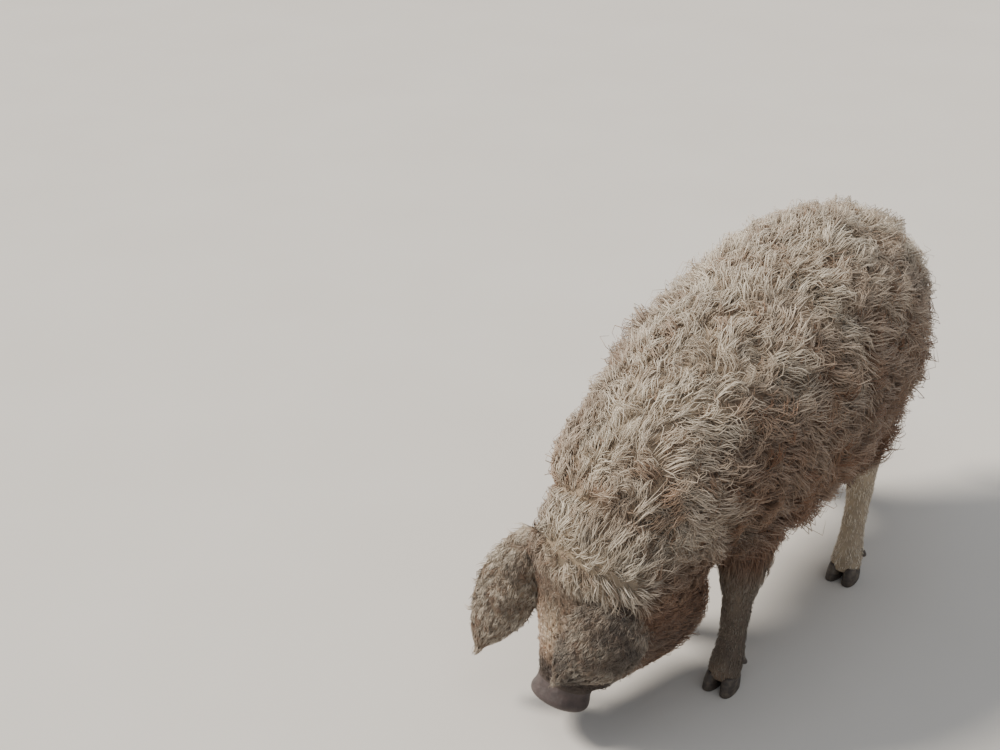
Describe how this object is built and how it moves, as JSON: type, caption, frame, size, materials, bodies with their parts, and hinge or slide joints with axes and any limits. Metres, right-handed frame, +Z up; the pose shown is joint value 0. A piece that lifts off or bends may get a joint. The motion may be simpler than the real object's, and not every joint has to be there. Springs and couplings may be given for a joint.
{
  "type": "mangalica pig model",
  "caption": "Life-size still model of a curly-coated mangalica pig that stands with its head lowered to feed.",
  "frame": {"origin": "centre of the model's box on the floor plane that the hooves stand on", "axes": "+X towards the head along the body's length, +Y to the pig's left, +Z up"},
  "size_m": [1.0762, 0.4292, 0.639],
  "materials": {
    "coat": "curled cream and grey-brown bristle coat",
    "foreleg_coat": "short dark hair over grey skin",
    "snout_skin": "bare slate-grey skin, slightly moist",
    "hoof_horn": "dull dark horn",
    "eye": "wet dark brown eye"
  },
  "bodies": {
    "root": {"claw_fore_left_a": "hoof_horn", "claw_fore_left_b": "hoof_horn", "claw_fore_right_a": "hoof_horn", "claw_fore_right_b": "hoof_horn", "claw_hind_left_a": "hoof_horn", "claw_hind_left_b": "hoof_horn", "claw_hind_right_a": "hoof_horn", "claw_hind_right_b": "hoof_horn", "ear_left": "coat", "ear_right": "coat", "eye_left": "eye", "eye_right": "eye", "head": "coat", "leg_fore_left": "foreleg_coat", "leg_fore_right": "foreleg_coat", "leg_hind_left": "coat", "leg_hind_right": "coat", "neck": "coat", "snout": "snout_skin", "spur_fore_left_a": "hoof_horn", "spur_fore_left_b": "hoof_horn", "spur_fore_right_a": "hoof_horn", "spur_fore_right_b": "hoof_horn", "spur_hind_left_a": "hoof_horn", "spur_hind_left_b": "hoof_horn", "spur_hind_right_a": "hoof_horn", "spur_hind_right_b": "hoof_horn", "tail": "coat", "torso": "coat"}
  },
  "joints": []
}
